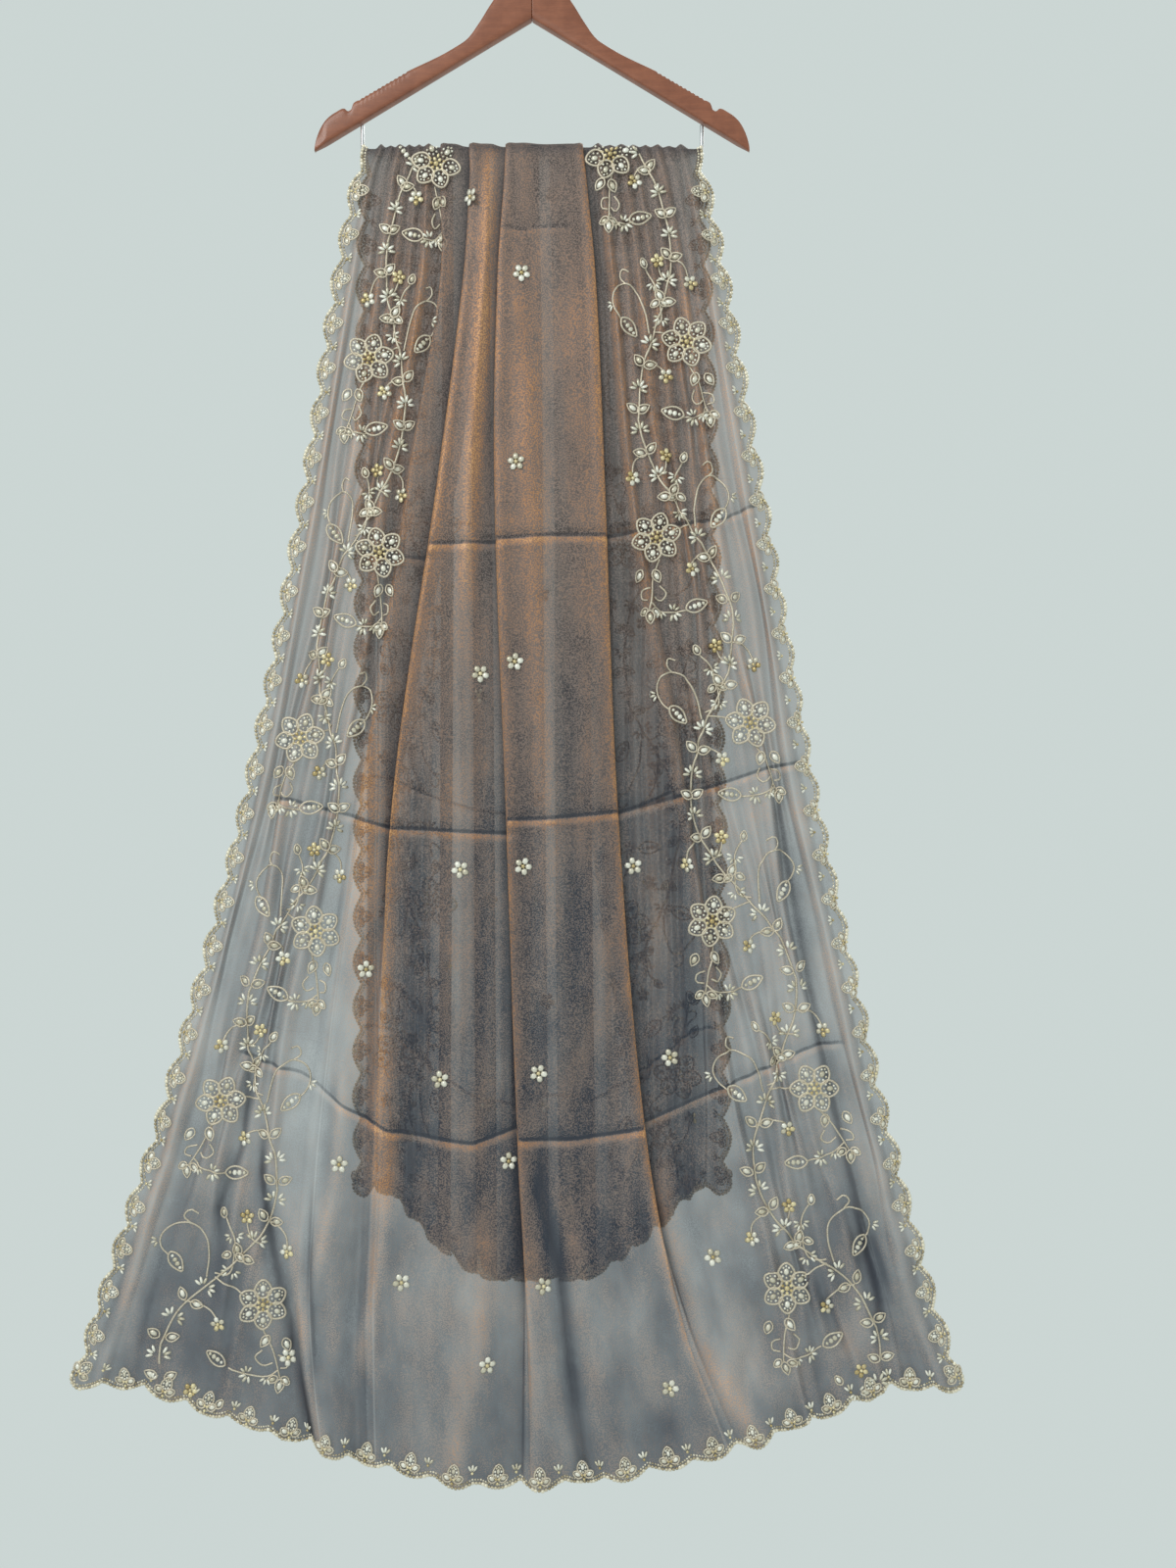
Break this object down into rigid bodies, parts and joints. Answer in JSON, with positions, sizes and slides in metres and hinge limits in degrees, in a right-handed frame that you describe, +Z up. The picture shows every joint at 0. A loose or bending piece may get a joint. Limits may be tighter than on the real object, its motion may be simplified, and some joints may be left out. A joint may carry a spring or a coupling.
{
  "type": "dupatta stole on a wooden hanger",
  "caption": "Long sheer embroidered stole with a scalloped beaded edge, folded over the bar of a flat wooden coat hanger with a steel hook.",
  "frame": {"origin": "the highest point inside the hook's bend, where a rail carries the hanger", "axes": "+Z up, +Y towards the wall behind, so the long front fall faces -Y; +X to the viewer's right"},
  "size_m": [0.9, 0.0597, 1.6066],
  "materials": {
    "wood": "satin varnish",
    "steel": "plain bright wire",
    "organza": "sheer shot organza, copper over navy",
    "beaded_edging": "pale gold beads and metallic thread"
  },
  "bodies": {
    "root": {"hanger_arm_left": "wood", "hanger_arm_right": "wood", "hanger_hook": "steel", "hanger_bar": "steel", "cloth_front": "organza", "cloth_over_bar": "organza", "cloth_back": "organza", "edging_front": "beaded_edging", "edging_back": "beaded_edging"}
  },
  "joints": []
}
